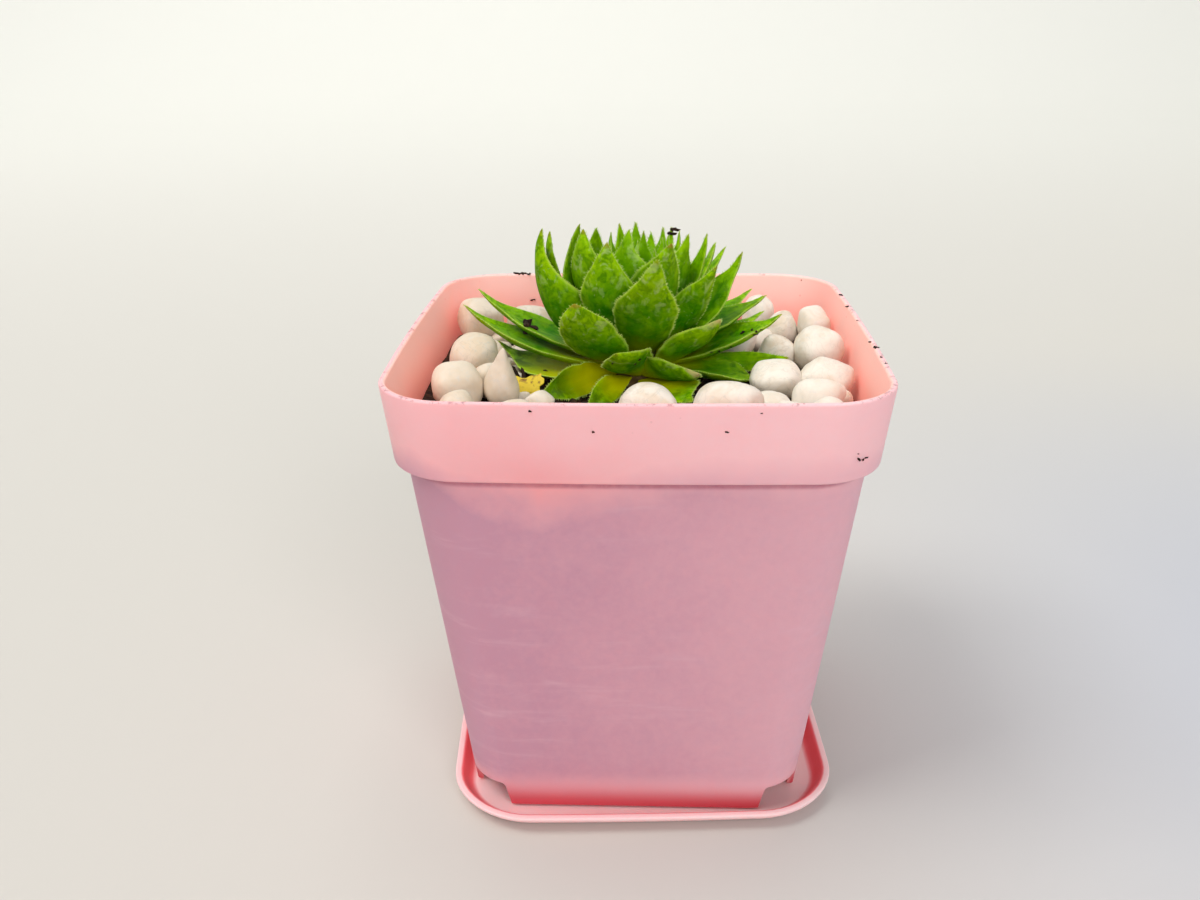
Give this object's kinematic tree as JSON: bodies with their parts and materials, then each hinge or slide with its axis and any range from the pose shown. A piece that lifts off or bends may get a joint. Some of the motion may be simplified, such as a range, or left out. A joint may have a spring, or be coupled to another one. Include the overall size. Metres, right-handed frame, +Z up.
{
  "type": "potted houseleek",
  "caption": "Houseleek rosette of fleshy pointed green leaves in a tapered square pink plastic pot on a matching saucer, white pebbles over dark soil.",
  "frame": {"origin": "centre of the whole object's box on the plane that the saucer stands on", "axes": "+Z up along the pot's axis, -Y out of the pot's front face, +X to the right as seen from the front"},
  "size_m": [0.0924, 0.0924, 0.1156],
  "materials": {
    "pot_pink": "satin",
    "saucer_pink": "satin",
    "soil_dark": "matte",
    "stem_bark": "matte",
    "leaf_green": "satin",
    "old_leaf_green": "satin",
    "heart_green": "satin",
    "pebble_white": "satin"
  },
  "bodies": {
    "root": {"pot": "pot_pink", "saucer": "saucer_pink", "soil": "soil_dark", "stem": "stem_bark", "leaf_01": "old_leaf_green", "leaf_02": "old_leaf_green", "leaf_03": "old_leaf_green", "leaf_04": "leaf_green", "leaf_05": "old_leaf_green", "leaf_06": "leaf_green", "leaf_07": "leaf_green", "leaf_08": "leaf_green", "leaf_09": "leaf_green", "leaf_10": "leaf_green", "leaf_11": "leaf_green", "leaf_12": "leaf_green", "leaf_13": "leaf_green", "leaf_14": "leaf_green", "leaf_15": "leaf_green", "leaf_16": "leaf_green", "leaf_17": "leaf_green", "leaf_18": "leaf_green", "leaf_19": "leaf_green", "leaf_20": "leaf_green", "leaf_21": "leaf_green", "leaf_22": "leaf_green", "leaf_23": "leaf_green", "leaf_24": "leaf_green", "leaf_25": "leaf_green", "leaf_26": "leaf_green", "leaf_27": "leaf_green", "leaf_28": "leaf_green", "leaf_29": "leaf_green", "leaf_30": "leaf_green", "leaf_31": "leaf_green", "leaf_32": "leaf_green", "heart": "heart_green", "pebble_01": "pebble_white", "pebble_02": "pebble_white", "pebble_03": "pebble_white", "pebble_04": "pebble_white", "pebble_05": "pebble_white", "pebble_06": "pebble_white", "pebble_07": "pebble_white", "pebble_08": "pebble_white", "pebble_09": "pebble_white", "pebble_10": "pebble_white", "pebble_11": "pebble_white", "pebble_12": "pebble_white", "pebble_13": "pebble_white", "pebble_14": "pebble_white", "pebble_15": "pebble_white", "pebble_16": "pebble_white", "pebble_17": "pebble_white", "pebble_18": "pebble_white", "pebble_19": "pebble_white", "pebble_20": "pebble_white", "pebble_21": "pebble_white", "pebble_22": "pebble_white", "pebble_23": "pebble_white"}
  },
  "joints": []
}
